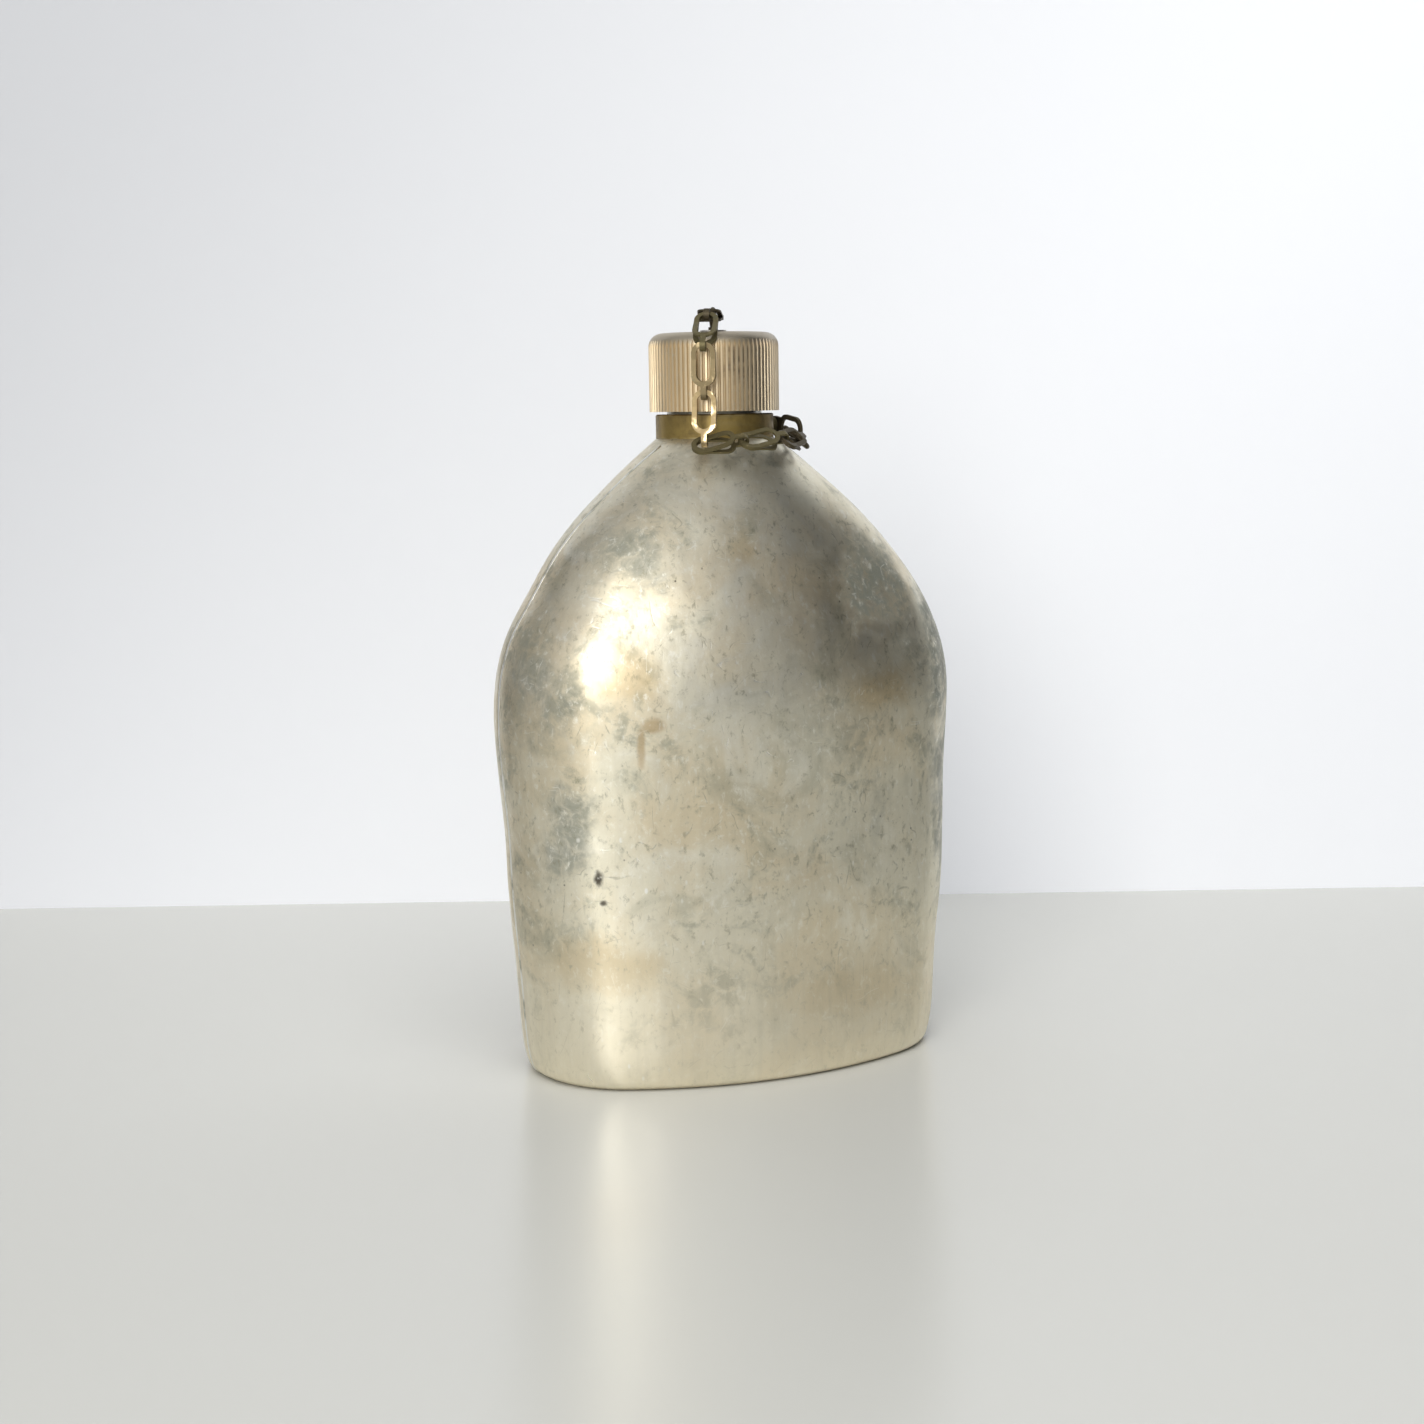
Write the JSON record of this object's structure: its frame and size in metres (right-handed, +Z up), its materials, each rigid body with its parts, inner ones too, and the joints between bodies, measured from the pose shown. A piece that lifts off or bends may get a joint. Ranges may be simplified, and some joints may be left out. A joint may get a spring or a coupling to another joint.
{
  "type": "metal canteen",
  "caption": "Kidney-section aluminium canteen with a ridged screw cap that unscrews and rises on its thread, kept by a folded-link chain riveted to a band round the neck.",
  "frame": {"origin": "on the resting plane, under the axis of the neck", "axes": "+Z up along the neck's axis, -Y out of the convex front, +X to the front's right"},
  "size_m": [0.1312, 0.0688, 0.2055],
  "materials": {
    "aluminium_body": "satin, aged and scratched",
    "weld": "dressed weld bead",
    "dark_brass": "dark patina",
    "bright_brass": "worn bright",
    "aluminium_cap": "ridged, warm tarnish",
    "cork": "pressed cork",
    "washer_metal": "plain sheet",
    "pin_brass": "dark patina"
  },
  "bodies": {
    "bottle": {"front_shell": "aluminium_body", "back_shell": "aluminium_body", "seam_weld": "weld", "neck": "aluminium_body", "neck_weld": "weld", "neck_band": "dark_brass", "band_rivet": "dark_brass", "band_spacer": "dark_brass"},
    "cap_pin": {"swivel_pin": "pin_brass"},
    "cap": {"cap_shell": "aluminium_cap", "cap_gasket": "cork", "gasket_washer": "washer_metal", "top_washer": "washer_metal"},
    "link_1": {"link_1": "dark_brass"},
    "link_2": {"link_2": "dark_brass"},
    "link_3": {"link_3": "bright_brass"},
    "link_4": {"link_4": "bright_brass"},
    "link_5": {"link_5": "dark_brass"},
    "link_6": {"link_6": "dark_brass"},
    "link_7": {"link_7": "dark_brass"},
    "end_ring": {"end_ring": "dark_brass"},
    "anchor_link": {"anchor_link": "dark_brass"}
  },
  "joints": [
    {"name": "cap_lift", "type": "slide", "parent": "bottle", "child": "cap_pin", "axis": [0, 0, 1], "range_m": [0, 0.01155]},
    {"name": "cap_turn", "type": "hinge", "parent": "cap_pin", "child": "cap", "pos_m": [0, 0, 0.1776], "axis": [0, 0, 1], "range_deg": [0, 990.5]},
    {"name": "link_1_play", "type": "hinge", "parent": "cap_pin", "child": "link_1", "pos_m": [-0.00124, -0.00223, 0.20258], "axis": [0.0211, 0.0382, 0.999], "range_deg": [-2, 2]},
    {"name": "link_2_play", "type": "hinge", "parent": "cap_pin", "child": "link_2", "pos_m": [-0.00696, -0.01256, 0.20139], "axis": [-0.3084, -0.5563, 0.7716], "range_deg": [-2, 2]},
    {"name": "link_3_play", "type": "hinge", "parent": "cap_pin", "child": "link_3", "pos_m": [-0.01061, -0.01915, 0.19257], "axis": [-0.4846, -0.8743, -0.0262], "range_deg": [-2, 2]},
    {"name": "link_4_play", "type": "hinge", "parent": "cap_pin", "child": "link_4", "pos_m": [-0.01054, -0.01902, 0.18018], "axis": [-0.4843, -0.8738, 0.0436], "range_deg": [-2, 2]},
    {"name": "link_5_play", "type": "hinge", "parent": "cap_pin", "child": "link_5", "pos_m": [-0.01173, -0.02116, 0.16879], "axis": [-0.2951, -0.5324, 0.7934], "range_deg": [-2, 2]},
    {"name": "link_6_play", "type": "hinge", "parent": "cap_pin", "child": "link_6", "pos_m": [-0.00002, -0.02474, 0.16965], "axis": [0.0426, -0.6132, 0.7888], "range_deg": [-2, 2]},
    {"name": "link_7_play", "type": "hinge", "parent": "cap_pin", "child": "link_7", "pos_m": [0.01185, -0.02195, 0.16976], "axis": [0.4685, -0.4751, 0.7448], "range_deg": [-2, 2]},
    {"name": "end_ring_play", "type": "hinge", "parent": "cap_pin", "child": "end_ring", "pos_m": [0.01995, -0.01296, 0.16931], "axis": [0.6777, -0.2004, 0.7075], "range_deg": [-1, 1]},
    {"name": "anchor_swing", "type": "hinge", "parent": "bottle", "child": "anchor_link", "pos_m": [0.01883, 0.00165, 0.17365], "axis": [-0.9962, -0.0872, 0], "range_deg": [0, 66.1]}
  ],
  "couplings": [
    {"joint": "cap_turn", "follows": "cap_lift", "rad_per_m": 1496},
    {"joint": "anchor_swing", "follows": "cap_lift", "rad_per_m": 99.733}
  ]
}
